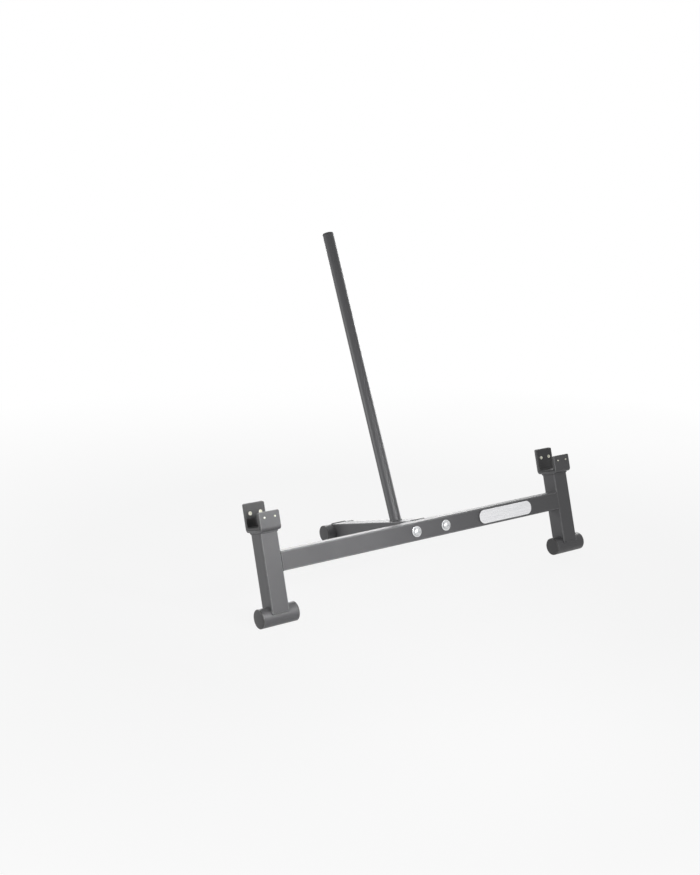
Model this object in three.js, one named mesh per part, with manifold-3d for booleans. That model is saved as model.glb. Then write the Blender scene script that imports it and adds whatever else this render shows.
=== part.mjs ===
// Deadlift jack: a low H-shaped frame of square tube with two U-shaped cradles for a bar.
// A tall lever behind the frame rolls it back over its round front feet until the rear foot lands.
// The model stands as it does with the bar raised: on all three feet, uprights leaning back.
// Millimetres. x runs along the bar, y to the rear, z up. The origin is under the middle, on the floor.
import * as THREE from "three";
import { mergeVertices } from "three/addons/utils/BufferGeometryUtils.js";
import Module from "manifold-3d";

const wasm = await Module();
wasm.setup();

// Frame
const cradleSpacing = 992; // middle of one cradle to the middle of the other
const uprightHeight = 213; // axis of the front feet to the underside of the cradles
const crossbarHeight = 132; // axis of the front feet to the axis of the crossbar and of the arm
const armReach = 446; // axis of the crossbar to the axis of the rear foot

// Square tube of the uprights, the crossbar and the arm
const tubeSide = 50;
const tubeWall = 2.5;
const tubeCornerRadius = 3.5;

// Round tube of the three feet
const footDiameter = 50;
const footWall = 3;
const footLength = 108; // over the caps

// Plastic end caps of the feet
const capHead = 3.5;
const capDome = 0.8;
const capEdgeRadius = 2;
const capPlugLength = 16;
const capPlugWall = 2.5;

// Bent steel bracket of a cradle
const cradleWidth = 58;
const cradleDepth = 81; // over the two walls
const bracketThickness = 5;
const bracketBendRadius = 5; // inside the bend
const frontWallHeight = 50;
const backWallHeight = 74;
const wallCornerRadius = 4;

// Plastic liner of a cradle
const linerThickness = 6;
const linerStepDown = 1; // the liner stops this far below the top of the steel
const linerBendRadius = 4; // inside the bend

// Countersunk screws of the liners, two through each wall
const screwPitch = 30;
const frontScrewHeight = 35;
const backScrewHeight = 48;
const screwDiameter = 5;
const screwHeadDiameter = 10;
const screwHeadDepth = 2.9;
const screwRim = 0.4;
const screwEnd = 1.5; // how far it stands out of the steel
const screwChamfer = 0.6;
const crossSpan = 5.2;
const crossWidth = 1.1;
const crossDepth = 1.6;

// The two bolts that join the rear frame to the crossbar
const boltSpacing = 100;
const boltDiameter = 12;
const boltHeadDiameter = 22;
const boltHeadHeight = 7;
const boltHeadRim = 1.2;
const boltEnd = 5; // how far it stands out of the nut
const boltChamfer = 1;
const socketAcrossFlats = 8;
const socketDepth = 4;
const frontWasherDiameter = 30;
const frontWasherThickness = 2.5;
const rearWasherDiameter = 24;
const rearWasherThickness = 2.5;
const nutAcrossFlats = 19;
const nutHeight = 10;
const nutCollarHeight = 3;
const nutCollarWall = 2.2;

// Plate on the front end of the arm, flat against the back of the crossbar
const flangeLength = 140;
const flangeThickness = 6;
const flangeCornerRadius = 5;

// Lever
const leverDiameter = 32;
const leverWall = 2.5;
const leverLength = 856; // along its axis, from the top of the arm to the end of the plug
const leverSetback = 111; // back of the crossbar to the lever's axis, on top of the arm
const leverLean = THREE.MathUtils.degToRad(8.1); // further back than the uprights

// Plastic plug in the lever's end
const plugHead = 4.5;
const plugDome = 0.6;
const plugEdgeRadius = 2;
const plugLength = 20;
const plugWall = 2;

// Bare name plate on the front of the crossbar
const plateEndDistance = 107.5; // right end of the crossbar to the plate
const plateLength = 194;
const plateHeight = 40;
const plateThickness = 2.5;
const plateCornerRadius = 18.5;
const plateBevel = 0.5;

// Clearances
const seatGap = 0.3; // between pieces that touch
const holeClearance = 0.4; // round a bolt or a screw in its hole
const cutOverrun = 4; // how far a cut runs past the piece

// Facets
const cornerSteps = 3; // an arc in an extruded outline gets twice this many sides
const tubeSides = 32;
const boltSides = 24;
const screwSides = 12;
const capDomeSteps = 2;
const boltDomeSteps = 4;

// Sizes that follow
const tubeHalf = tubeSide / 2;
const footRadius = footDiameter / 2;
const leverRadius = leverDiameter / 2;
const boltRadius = boltDiameter / 2;
const screwRadius = screwDiameter / 2;
const screwHeadRadius = screwHeadDiameter / 2;
const uprightPlace = cradleSpacing / 2;
const platePlace = uprightPlace - tubeHalf - plateEndDistance - plateLength / 2;
const frameLean = Math.atan2(crossbarHeight, armReach); // sets the rear foot level with the front feet
const flangeFront = tubeHalf + seatGap;
const flangeBack = flangeFront + flangeThickness;
const linerRise = bracketThickness + seatGap; // steel's outer face to the liner's outer face
const screwLength = linerThickness + linerRise + screwEnd;

// Materials
const powderCoat = { color: 0x4b4c4f, roughness: 0.45, metalness: 0.3 };
const capPlastic = { color: 0x36373a, roughness: 0.5, metalness: 0 };
const linerPlastic = { color: 0x2e2f31, roughness: 0.6, metalness: 0 };
const brightSteel = { color: 0xd4d6d8, roughness: 0.25, metalness: 0.9 };
const yellowZinc = { color: 0xc9c6a6, roughness: 0.35, metalness: 0.8 };
const plateMetal = { color: 0xe2e3e5, roughness: 0.3, metalness: 0.6 };

// Booleans

function solidOf(geometry) {
  const bare = geometry.clone();
  bare.deleteAttribute("normal");
  bare.deleteAttribute("uv");
  const merged = mergeVertices(bare);
  return new wasm.Manifold(new wasm.Mesh({
    numProp: 3,
    vertProperties: new Float32Array(merged.attributes.position.array),
    triVerts: new Uint32Array(merged.index.array),
  }));
}

function geometryOf(solid) {
  const mesh = solid.getMesh();
  const shared = new THREE.BufferGeometry();
  shared.setAttribute("position", new THREE.BufferAttribute(mesh.vertProperties, 3));
  shared.setIndex(new THREE.BufferAttribute(mesh.triVerts, 1));
  const faceted = shared.toNonIndexed();
  faceted.computeVertexNormals();
  return faceted;
}

function cut(body, ...tools) {
  let solid = solidOf(body);
  for (const tool of tools) {
    solid = solid.subtract(solidOf(tool));
  }
  return geometryOf(solid);
}

// Forms: an outline carried along an axis, and a profile turned about one

const outlineYZ = new THREE.Matrix4().makeBasis(
  new THREE.Vector3(0, 1, 0),
  new THREE.Vector3(0, 0, 1),
  new THREE.Vector3(1, 0, 0),
);

// The outline's axes are x and y, and the form starts at z = 0.
function alongZ(outline, length, bevel = 0) {
  const form = new THREE.ExtrudeGeometry(outline, {
    depth: length - 2 * bevel,
    bevelEnabled: bevel > 0,
    bevelThickness: bevel,
    bevelSize: bevel,
    bevelOffset: -bevel,
    bevelSegments: 1,
    curveSegments: cornerSteps,
  });
  return form.translate(0, 0, bevel);
}

// The outline's axes are y and z, and x = 0 is the middle of the length.
function alongX(outline, length) {
  return alongZ(outline, length).translate(0, 0, -length / 2).applyMatrix4(outlineYZ);
}

// The outline's axes are x and z, and the form starts at y = 0.
function alongY(outline, length, bevel = 0) {
  return alongZ(outline, length, bevel).translate(0, 0, -length).rotateX(Math.PI / 2);
}

// The profile's points are radius and height, and its axis becomes z.
function turned(profile, sides) {
  const points = profile.map(([radius, height]) => new THREE.Vector2(radius, height));
  return new THREE.LatheGeometry(points, sides).rotateX(Math.PI / 2);
}

function pin(radius, length, sides) {
  return turned([[0, -length / 2], [radius, -length / 2], [radius, length / 2], [0, length / 2]], sides);
}

function pinAlongX(radius, length, sides = tubeSides) {
  return pin(radius, length, sides).rotateY(Math.PI / 2);
}

function pinAlongY(radius, length, sides = boltSides) {
  return pin(radius, length, sides).rotateX(Math.PI / 2);
}

function ring(outerRadius, innerRadius, length, sides) {
  return turned([
    [innerRadius, 0],
    [outerRadius, 0],
    [outerRadius, length],
    [innerRadius, length],
    [innerRadius, 0],
  ], sides);
}

function arc(centreRadius, centreHeight, radius, from, to, steps) {
  const points = [];
  for (let i = 0; i <= steps; i += 1) {
    const angle = from + ((to - from) * i) / steps;
    points.push([centreRadius + radius * Math.cos(angle), centreHeight + radius * Math.sin(angle)]);
  }
  return points;
}

// Outlines

function roundedRectangle(width, height, radius, path = new THREE.Shape()) {
  const x = width / 2 - radius;
  const y = height / 2 - radius;
  path.absarc(x, -y, radius, -Math.PI / 2, 0, false);
  path.absarc(x, y, radius, 0, Math.PI / 2, false);
  path.absarc(-x, y, radius, Math.PI / 2, Math.PI, false);
  path.absarc(-x, -y, radius, Math.PI, 1.5 * Math.PI, false);
  path.closePath();
  return path;
}

function hexagon(acrossFlats) {
  const radius = acrossFlats / Math.sqrt(3);
  const points = [];
  for (let i = 0; i < 6; i += 1) {
    const angle = (i * Math.PI) / 3;
    points.push(new THREE.Vector2(radius * Math.cos(angle), radius * Math.sin(angle)));
  }
  return new THREE.Shape(points);
}

function squareTube() {
  const bore = tubeSide - 2 * tubeWall;
  const outline = roundedRectangle(tubeSide, tubeSide, tubeCornerRadius);
  outline.holes.push(roundedRectangle(bore, bore, tubeCornerRadius - tubeWall, new THREE.Path()));
  return outline;
}

// A channel seen from its end: front wall, base and back wall, with round bends.
function channel(depth, thickness, outerRadius, innerRadius, frontHeight, backHeight) {
  const half = depth / 2;
  const inside = half - thickness;
  const outline = new THREE.Shape();
  outline.moveTo(-half, frontHeight);
  outline.absarc(outerRadius - half, outerRadius, outerRadius, Math.PI, 1.5 * Math.PI, false);
  outline.absarc(half - outerRadius, outerRadius, outerRadius, -Math.PI / 2, 0, false);
  outline.lineTo(half, backHeight);
  outline.lineTo(inside, backHeight);
  outline.absarc(inside - innerRadius, thickness + innerRadius, innerRadius, 0, -Math.PI / 2, true);
  outline.absarc(innerRadius - inside, thickness + innerRadius, innerRadius, -Math.PI / 2, -Math.PI, true);
  outline.lineTo(-inside, frontHeight);
  outline.closePath();
  return outline;
}

// A wall seen from the front, with its two top corners rounded.
function wallOutline(height) {
  const x = cradleWidth / 2 - wallCornerRadius;
  const outline = new THREE.Shape();
  outline.moveTo(-cradleWidth / 2, -cutOverrun);
  outline.lineTo(cradleWidth / 2, -cutOverrun);
  outline.absarc(x, height - wallCornerRadius, wallCornerRadius, 0, Math.PI / 2, false);
  outline.absarc(-x, height - wallCornerRadius, wallCornerRadius, Math.PI / 2, Math.PI, false);
  outline.closePath();
  return outline;
}

// Placing

function piece(name, finish, geometry, parent, x = 0, y = 0, z = 0) {
  const mesh = new THREE.Mesh(geometry, new THREE.MeshStandardMaterial(finish));
  mesh.name = name;
  mesh.position.set(x, y, z);
  parent.add(mesh);
  return mesh;
}

function groupAt(parent, x, y, z) {
  const group = new THREE.Group();
  group.position.set(x, y, z);
  parent.add(group);
  return group;
}

// Feet

// An end cap on z, its head above z = 0 and its hollow plug below.
function endCap(radius, bore, head, dome, edge, length, wall) {
  const plug = bore / 2 - seatGap;
  const flat = radius - edge;
  const crown = [];
  for (let i = 1; i <= capDomeSteps; i += 1) {
    const share = 1 - i / capDomeSteps;
    crown.push([flat * share, head + dome * (1 - share * share)]);
  }
  return turned([
    [0, 0],
    [plug - wall, 0],
    [plug - wall, -length],
    [plug, -length],
    [plug, 0],
    [radius, 0],
    ...arc(flat, head - edge, edge, 0, Math.PI / 2, cornerSteps),
    ...crown,
  ], tubeSides);
}

function addFoot(parent, name, x, y, z) {
  const foot = groupAt(parent, x, y, z);
  const seat = footLength / 2 - capHead - capDome;
  const bore = footDiameter - 2 * footWall;
  const tube = ring(footRadius, bore / 2, 2 * (seat - seatGap), tubeSides);
  tube.translate(0, 0, seatGap - seat).rotateY(Math.PI / 2);
  piece(`${name}_foot_tube`, powderCoat, tube, foot);
  for (const [side, sign] of [["left", -1], ["right", 1]]) {
    const cap = endCap(footRadius, bore, capHead, capDome, capEdgeRadius, capPlugLength, capPlugWall);
    cap.rotateY((sign * Math.PI) / 2);
    piece(`${name}_foot_${side}_cap`, capPlastic, cap, foot, sign * seat);
  }
}

// Frame of the front

function footSaddle() {
  return pinAlongX(footRadius + seatGap, footLength);
}

function upright() {
  return cut(alongZ(squareTube(), uprightHeight - seatGap), footSaddle());
}

function crossbar() {
  const length = cradleSpacing - tubeSide - 2 * seatGap;
  const hole = () => pinAlongY(boltRadius + holeClearance, tubeSide + 2 * cutOverrun);
  return cut(
    alongX(squareTube(), length),
    hole().translate(-boltSpacing / 2, 0, 0),
    hole().translate(boltSpacing / 2, 0, 0),
  );
}

// Cradles

// The screw places of a cradle: across it, up from its underside, and which wall.
const screwPlaces = [
  ["front_left", -screwPitch / 2, frontScrewHeight, -1],
  ["front_right", screwPitch / 2, frontScrewHeight, -1],
  ["back_left", -screwPitch / 2, backScrewHeight, 1],
  ["back_right", screwPitch / 2, backScrewHeight, 1],
];

// The face of a wall that the bar sees.
const linerFace = cradleDepth / 2 - linerRise - linerThickness;

// A screw on z, its head's flat top at z = 0 and its end above.
function screwProfile(clearance, start, end) {
  return [
    [0, start],
    [screwHeadRadius + clearance, start],
    [screwHeadRadius + clearance, screwRim],
    [screwRadius + clearance, screwHeadDepth],
    [screwRadius + clearance, end],
  ];
}

function linerScrew() {
  const body = turned([
    ...screwProfile(0, 0, screwLength - screwChamfer),
    [screwRadius - screwChamfer, screwLength],
    [0, screwLength],
  ], screwSides);
  return cut(
    body,
    new THREE.BoxGeometry(crossSpan, crossWidth, 2 * crossDepth),
    new THREE.BoxGeometry(crossWidth, crossSpan, 2 * crossDepth),
  );
}

// Cuts for the four screws, each made on z and then turned towards its wall.
function screwHoles() {
  const end = screwLength + cutOverrun;
  return screwPlaces.map(([, x, z, wall]) => {
    const hole = turned([...screwProfile(holeClearance, -cutOverrun, end), [0, end]], screwSides);
    return hole.rotateX((-wall * Math.PI) / 2).translate(x, wall * linerFace, z);
  });
}

function drilledChannel(outline, frontHeight, backHeight, rise) {
  const reach = cradleDepth / 2 + cutOverrun;
  const front = solidOf(alongY(wallOutline(frontHeight), reach + cutOverrun).translate(0, -reach, 0));
  const back = solidOf(alongY(wallOutline(backHeight), reach));
  let solid = solidOf(alongX(outline, cradleWidth).translate(0, 0, rise)).intersect(front.add(back));
  for (const hole of screwHoles()) {
    solid = solid.subtract(solidOf(hole));
  }
  return geometryOf(solid);
}

function bracket() {
  const outerRadius = bracketBendRadius + bracketThickness;
  const outline = channel(
    cradleDepth, bracketThickness, outerRadius, bracketBendRadius, frontWallHeight, backWallHeight,
  );
  return drilledChannel(outline, frontWallHeight, backWallHeight, 0);
}

function liner() {
  const front = frontWallHeight - linerStepDown;
  const back = backWallHeight - linerStepDown;
  const outline = channel(
    cradleDepth - 2 * linerRise, linerThickness, bracketBendRadius - seatGap, linerBendRadius,
    front - linerRise, back - linerRise,
  );
  return drilledChannel(outline, front, back, linerRise);
}

function addCradle(parent, side) {
  const cradle = groupAt(parent, 0, 0, uprightHeight);
  piece(`${side}_cradle_bracket`, powderCoat, bracket(), cradle);
  piece(`${side}_cradle_liner`, linerPlastic, liner(), cradle);
  for (const [place, x, z, wall] of screwPlaces) {
    const name = `${side}_liner_screw_${place}`;
    const screw = piece(name, yellowZinc, linerScrew(), cradle, x, wall * linerFace, z);
    screw.rotation.x = (-wall * Math.PI) / 2;
  }
}

// Bolted joint

// A bolt on z, its domed head below z = 0 and its shank above.
function frameBolt(grip) {
  const head = boltHeadDiameter / 2;
  const dome = [];
  for (let i = 1; i <= boltDomeSteps; i += 1) {
    const angle = (i * Math.PI) / 2 / boltDomeSteps;
    dome.push([head * Math.sin(angle), -boltHeadRim - (boltHeadHeight - boltHeadRim) * Math.cos(angle)]);
  }
  const length = grip + boltEnd;
  const body = turned([
    [0, -boltHeadHeight],
    ...dome,
    [head, 0],
    [boltRadius, 0],
    [boltRadius, length - boltChamfer],
    [boltRadius - boltChamfer, length],
    [0, length],
  ], boltSides);
  const socket = alongZ(hexagon(socketAcrossFlats), socketDepth + cutOverrun);
  return cut(body, socket.translate(0, 0, -boltHeadHeight - cutOverrun));
}

function washer(diameter, thickness) {
  return ring(diameter / 2, boltRadius + holeClearance, thickness, boltSides);
}

// A locking nut on z: chamfered hexagon, then a round collar.
function lockNut() {
  const flat = nutAcrossFlats / 2;
  const corner = nutAcrossFlats / Math.sqrt(3);
  const chamfer = (corner - flat) * Math.tan(Math.PI / 6);
  const envelope = turned([
    [0, 0],
    [flat, 0],
    [corner, chamfer],
    [corner, nutHeight - chamfer],
    [flat, nutHeight],
    [0, nutHeight],
  ], boltSides);
  const bore = boltRadius + holeClearance;
  const collar = ring(bore + nutCollarWall, bore, nutHeight + nutCollarHeight, boltSides);
  const hex = solidOf(alongZ(hexagon(nutAcrossFlats), nutHeight)).intersect(solidOf(envelope));
  const hole = pin(bore, 2 * (nutHeight + cutOverrun), boltSides);
  return geometryOf(hex.subtract(solidOf(hole)).add(solidOf(collar)));
}

// Pieces of one bolt, stacked from the front to the rear with a gap between neighbours.
function addBolt(parent, side, x) {
  const stack = groupAt(parent, x, 0, crossbarHeight);
  stack.rotation.x = -Math.PI / 2;
  const front = -tubeHalf - seatGap - frontWasherThickness;
  const head = front - seatGap;
  const rear = flangeBack + seatGap;
  const nut = rear + rearWasherThickness + seatGap;
  const nutEnd = nut + nutHeight + nutCollarHeight;
  const frontWasher = washer(frontWasherDiameter, frontWasherThickness);
  const rearWasher = washer(rearWasherDiameter, rearWasherThickness);
  piece(`${side}_frame_bolt`, brightSteel, frameBolt(nutEnd - head), stack, 0, 0, head);
  piece(`${side}_front_washer`, brightSteel, frontWasher, stack, 0, 0, front);
  piece(`${side}_rear_washer`, brightSteel, rearWasher, stack, 0, 0, rear);
  piece(`${side}_lock_nut`, brightSteel, lockNut(), stack, 0, 0, nut);
}

// Frame of the rear

function flange() {
  const hole = () => pinAlongY(boltRadius + holeClearance, 2 * (flangeThickness + cutOverrun));
  return cut(
    alongY(roundedRectangle(flangeLength, tubeSide, flangeCornerRadius), flangeThickness),
    hole().translate(-boltSpacing / 2, 0, 0),
    hole().translate(boltSpacing / 2, 0, 0),
  );
}

// The arm starts behind the flange and is coped over the rear foot.
function arm() {
  const start = flangeBack + seatGap;
  const length = armReach - start;
  return cut(alongY(squareTube(), length), footSaddle().translate(0, length, 0));
}

// The lever's tube on z, cut to the slope of the arm's top at z = 0.
function leverTube(top) {
  const tube = ring(leverRadius, leverRadius - leverWall, top + leverDiameter, tubeSides);
  const below = new THREE.BoxGeometry(2 * leverDiameter, 2 * leverDiameter, 2 * leverDiameter);
  below.translate(0, 0, seatGap - leverDiameter).rotateX(leverLean);
  return cut(tube.translate(0, 0, -leverDiameter), below);
}

function addLever(parent) {
  const lever = groupAt(parent, 0, tubeHalf + leverSetback, crossbarHeight + tubeHalf);
  lever.rotation.x = -leverLean;
  const seat = leverLength - plugHead - plugDome;
  const bore = leverDiameter - 2 * leverWall;
  const plug = endCap(leverRadius, bore, plugHead, plugDome, plugEdgeRadius, plugLength, plugWall);
  piece("lever_tube", powderCoat, leverTube(seat - seatGap), lever);
  piece("lever_plug", capPlastic, plug, lever, 0, 0, seat);
}

function namePlate() {
  return alongY(roundedRectangle(plateLength, plateHeight, plateCornerRadius), plateThickness, plateBevel);
}

// Assembly, drawn square to the uprights with its origin on the axis of the front feet

const frame = new THREE.Group();

for (const [side, sign] of [["left", -1], ["right", 1]]) {
  addFoot(frame, side, sign * uprightPlace, 0, 0);
  const post = groupAt(frame, sign * uprightPlace, 0, 0);
  piece(`${side}_upright`, powderCoat, upright(), post);
  addCradle(post, side);
  addBolt(frame, side, (sign * boltSpacing) / 2);
}
const plateFront = -tubeHalf - seatGap - plateThickness;
piece("crossbar", powderCoat, crossbar(), frame, 0, 0, crossbarHeight);
piece("name_plate", plateMetal, namePlate(), frame, platePlace, plateFront, crossbarHeight);
piece("arm_flange", powderCoat, flange(), frame, 0, flangeFront, crossbarHeight);
piece("arm_tube", powderCoat, arm(), frame, 0, flangeBack + seatGap, crossbarHeight);
addFoot(frame, "rear", 0, armReach, crossbarHeight);
addLever(frame);

// The frame leans back onto its rear foot, and the origin goes under its middle.
frame.rotation.x = -frameLean;
const jack = new THREE.Group();
jack.add(frame);
const extent = new THREE.Box3().setFromObject(jack, true);
frame.position.set(0, -(extent.min.y + extent.max.y) / 2, -extent.min.z);

export default jack;
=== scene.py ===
import math

import bmesh
import bpy
import numpy as np
from mathutils import Matrix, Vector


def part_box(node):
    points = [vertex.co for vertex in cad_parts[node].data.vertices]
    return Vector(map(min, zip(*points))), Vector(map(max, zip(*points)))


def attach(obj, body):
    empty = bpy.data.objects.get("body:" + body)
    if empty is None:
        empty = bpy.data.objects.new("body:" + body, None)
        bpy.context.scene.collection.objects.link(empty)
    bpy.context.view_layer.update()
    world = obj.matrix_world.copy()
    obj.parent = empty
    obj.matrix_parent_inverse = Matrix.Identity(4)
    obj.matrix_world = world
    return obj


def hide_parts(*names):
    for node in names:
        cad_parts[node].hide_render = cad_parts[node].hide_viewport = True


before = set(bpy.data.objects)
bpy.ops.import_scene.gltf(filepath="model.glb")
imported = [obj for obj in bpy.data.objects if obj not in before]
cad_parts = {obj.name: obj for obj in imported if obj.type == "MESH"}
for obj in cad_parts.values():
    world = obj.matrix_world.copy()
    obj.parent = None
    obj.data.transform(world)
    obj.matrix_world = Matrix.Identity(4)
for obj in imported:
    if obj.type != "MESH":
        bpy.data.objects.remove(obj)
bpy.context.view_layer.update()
scene = bpy.context.scene
mm = 0.001
print("jack: frame loaded with", len(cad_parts), "nodes")


# Camera, fitted to the jack's edges in the photograph
photoCamera = {
    "place": (-1.9895, -2.7637, 1.2223),
    "headingDegrees": 54.29,  # of the view, from +x towards +y
    "downDegrees": 13.235,
    "rollDegrees": 0.781,
    "focalPixels": 1237.9,
    "centrePixels": (378.8, 416.64),
    "imagePixels": (700, 875),
    "sensorWidth": 36.0,  # millimetres
}


def placeAndTurn(right, up, back, place):
    # the matrix whose columns are an object's own three axes and its place
    columns = np.column_stack([right, up, back, place])
    return Matrix(np.vstack([columns, [0, 0, 0, 1]]).tolist())


def addObject(name, data):
    made = bpy.data.objects.new(name, data)
    scene.collection.objects.link(made)
    return made


def addCamera(v):
    # forward is (cos heading cos down, sin heading cos down, -sin down); right and up are square to it and
    # turned by the roll, and the lens's axis is shifted to the centre's pixels
    heading = math.radians(v["headingDegrees"])
    down = math.radians(v["downDegrees"])
    roll = math.radians(v["rollDegrees"])
    ahead = math.cos(down)
    forward = np.array([math.cos(heading) * ahead, math.sin(heading) * ahead, -math.sin(down)])
    levelRight = np.array([math.sin(heading), -math.cos(heading), 0.0])
    levelUp = np.cross(levelRight, forward)
    right = levelRight * math.cos(roll) + levelUp * math.sin(roll)
    up = levelUp * math.cos(roll) - levelRight * math.sin(roll)
    width, height = v["imagePixels"]
    data = bpy.data.cameras.new("photoCamera")
    data.sensor_fit = "HORIZONTAL"
    data.sensor_width = v["sensorWidth"]
    data.lens = v["focalPixels"] * v["sensorWidth"] / width
    data.shift_x = (width / 2 - v["centrePixels"][0]) / width
    data.shift_y = (v["centrePixels"][1] - height / 2) / width
    scene.camera = addObject("photoCamera", data)
    scene.camera.matrix_world = placeAndTurn(right, up, -forward, v["place"])


addCamera(photoCamera)
print("jack: camera placed")


# The leaning frame. Its millimetres run x along the crossbar, t to the rear and s up the uprights,
# from the middle of the front feet's axis.
jackFrame = {
    "crossbarHeight": 132,  # feet's axis to the axis of the crossbar and the arm
    "armReach": 446,  # crossbar's axis to the rear foot's axis
    "uprightHeight": 213,  # feet's axis to the underside of the cradles
    "tubeSide": 50,
    "tubeWall": 2.5,
    "cornerRadius": 3.5,
    "gap": 0.3,  # between pieces that touch
    "cutEdge": 0.5,  # rounding of a sawn edge under its coat
}
tubeHalf = jackFrame["tubeSide"] / 2
gap = jackFrame["gap"]
crossbarHeight = jackFrame["crossbarHeight"]
armReach = jackFrame["armReach"]
lean = math.atan2(crossbarHeight, armReach)
footLow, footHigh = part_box("left_foot_tube")
axisY = (footLow.y + footHigh.y) / 2
axisZ = (footLow.z + footHigh.z) / 2
uprightLow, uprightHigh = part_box("right_upright")
uprightPlace = (uprightLow.x + uprightHigh.x) / 2 / mm


def toWorld(points):
    # y = t cos(lean) + s sin(lean) and z = s cos(lean) - t sin(lean), from the feet's axis, in metres
    x, t, s = points[..., 0], points[..., 1], points[..., 2]
    y = axisY + (t * math.cos(lean) + s * math.sin(lean)) * mm
    z = axisZ + (s * math.cos(lean) - t * math.sin(lean)) * mm
    return np.stack([x * mm, y, z], axis=-1)


# Three ways to lay a local (a, b, c) grid in the frame, c being its long axis
def upwards(grid, x=0.0, t=0.0, s=0.0):
    # (a, b, c) goes to (x + a, t + b, s + c)
    return grid + np.array([x, t, s])


def alongCrossbar(grid, x=0.0, t=0.0, s=0.0, sign=1):
    # (a, b, c) goes to (x + c, t + a, s + b), or to x - c where sign is -1
    return np.stack([x + sign * grid[..., 2], t + grid[..., 0], s + grid[..., 1]], axis=-1)


def rearwards(grid, x=0.0, t=0.0, s=0.0, sign=1):
    # (a, b, c) goes to (x + a, t + c, s + b), or to t - c where sign is -1
    return np.stack([x + grid[..., 0], t + sign * grid[..., 2], s + grid[..., 1]], axis=-1)


# Grids and meshes
sameSpot = 0.002  # millimetres within which points are merged
leastApart = 0.05  # millimetres, the least distance that a bend is divided by
tiny = 1e-6  # stands for zero where a sign is tested or a value divides


def gridFaces(rows, columns, closeRows):
    # point (i, j) makes a face with (i, j + 1), (i + 1, j + 1) and (i + 1, j);
    # columns close on themselves
    i = np.arange(rows if closeRows else rows - 1)[:, None]
    j = np.arange(columns)[None, :]
    nextI, nextJ = (i + 1) % rows, (j + 1) % columns
    corners = [i * columns + j, i * columns + nextJ, nextI * columns + nextJ, nextI * columns + j]
    return np.stack(corners, axis=-1).reshape(-1, 4)


def gridMesh(name, grid, closeRows):
    # a closed mesh of the grid, its seams and poles merged and its faces outwards
    rows, columns, _ = grid.shape
    mesh = bpy.data.meshes.new(name)
    mesh.from_pydata(toWorld(grid).reshape(-1, 3).tolist(), [], gridFaces(rows, columns, closeRows).tolist())
    work = bmesh.new()
    work.from_mesh(mesh)
    bmesh.ops.remove_doubles(work, verts=work.verts, dist=sameSpot * mm)
    bmesh.ops.recalc_face_normals(work, faces=work.faces)
    work.to_mesh(mesh)
    work.free()
    return mesh


def drill(piece, cutterGrid):
    # takes a turned cutter's shape out of the piece and keeps the result as its mesh
    mesh = gridMesh("drill", cutterGrid, False)
    cutter = addObject("drill", mesh)
    modifier = piece.modifiers.new("drill", "BOOLEAN")
    modifier.operation = "DIFFERENCE"
    modifier.solver = "EXACT"
    modifier.object = cutter
    evaluated = piece.evaluated_get(bpy.context.evaluated_depsgraph_get())
    drilled = bpy.data.meshes.new_from_object(evaluated)
    piece.modifiers.clear()
    old = piece.data
    piece.data = drilled
    bpy.data.meshes.remove(old)
    bpy.data.objects.remove(cutter)
    bpy.data.meshes.remove(mesh)


def meshValues(items, key, width, kind=float):
    # a row of values for each of a mesh's points, edges, corners or faces
    values = np.empty(len(items) * width, kind)
    items.foreach_get(key, values)
    return values.reshape(-1, width)


def markEdges(mesh, wearAndHighlightRadius):
    # an edge's bend is the angle between its two faces over the distance between their middles, for outward
    # bends only, times a radius in millimetres, so that 1 is a corner at least as tight as that; a face keeps
    # the mean bend of its outline, weighted by length
    loopEdge = meshValues(mesh.loops, "edge_index", 1, np.int32).ravel()
    faceSize = meshValues(mesh.polygons, "loop_total", 1, np.int32).ravel()
    normals = meshValues(mesh.polygons, "normal", 3)
    centres = meshValues(mesh.polygons, "center", 3) / mm
    points = meshValues(mesh.vertices, "co", 3) / mm
    ends = meshValues(mesh.edges, "vertices", 2, np.int32)
    length = np.linalg.norm(points[ends[:, 0]] - points[ends[:, 1]], axis=1)
    order = np.argsort(loopEdge, kind="stable")
    face = np.repeat(np.arange(len(faceSize)), faceSize)[order]
    edges, first, count = np.unique(loopEdge[order], return_index=True, return_counts=True)
    first, edges = first[count == 2], edges[count == 2]
    one, two = face[first], face[first + 1]
    between = centres[two] - centres[one]
    apart = np.maximum(np.linalg.norm(between, axis=1), leastApart)
    angle = np.arccos(np.clip((normals[one] * normals[two]).sum(axis=1), -1, 1))
    outward = (normals[one] * between).sum(axis=1) < -tiny
    bend = np.where(outward, np.clip(angle / apart * wearAndHighlightRadius, 0, 1), 0) * length[edges]
    outline = np.bincount(face, length[loopEdge[order]], len(faceSize))
    values = (np.bincount(one, bend, len(faceSize)) + np.bincount(two, bend, len(faceSize))) / outline
    values = np.clip(values, 0, 1).astype(np.float32)
    mesh.attributes.new("edgeBend", "FLOAT", "FACE").data.foreach_set("value", values)


def makePiece(
    name, grid, material, nodes=(), closeRows=False, sharpDegrees=50, cutters=(), wearAndHighlightRadius=2.0
):
    # the grid's mesh, drilled by each cutter, marked for wear and painted highlight, smooth but for edges
    # past the sharp angle
    piece = addObject(name, gridMesh(name, grid, closeRows))
    for cutter in cutters:
        drill(piece, cutter)
    mesh = piece.data
    mesh.name = name
    markEdges(mesh, wearAndHighlightRadius)
    mesh.shade_smooth()
    mesh.set_sharp_from_angle(angle=math.radians(sharpDegrees))
    mesh.materials.clear()
    mesh.materials.append(material)
    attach(piece, "root")
    if nodes:
        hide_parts(*nodes)


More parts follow.
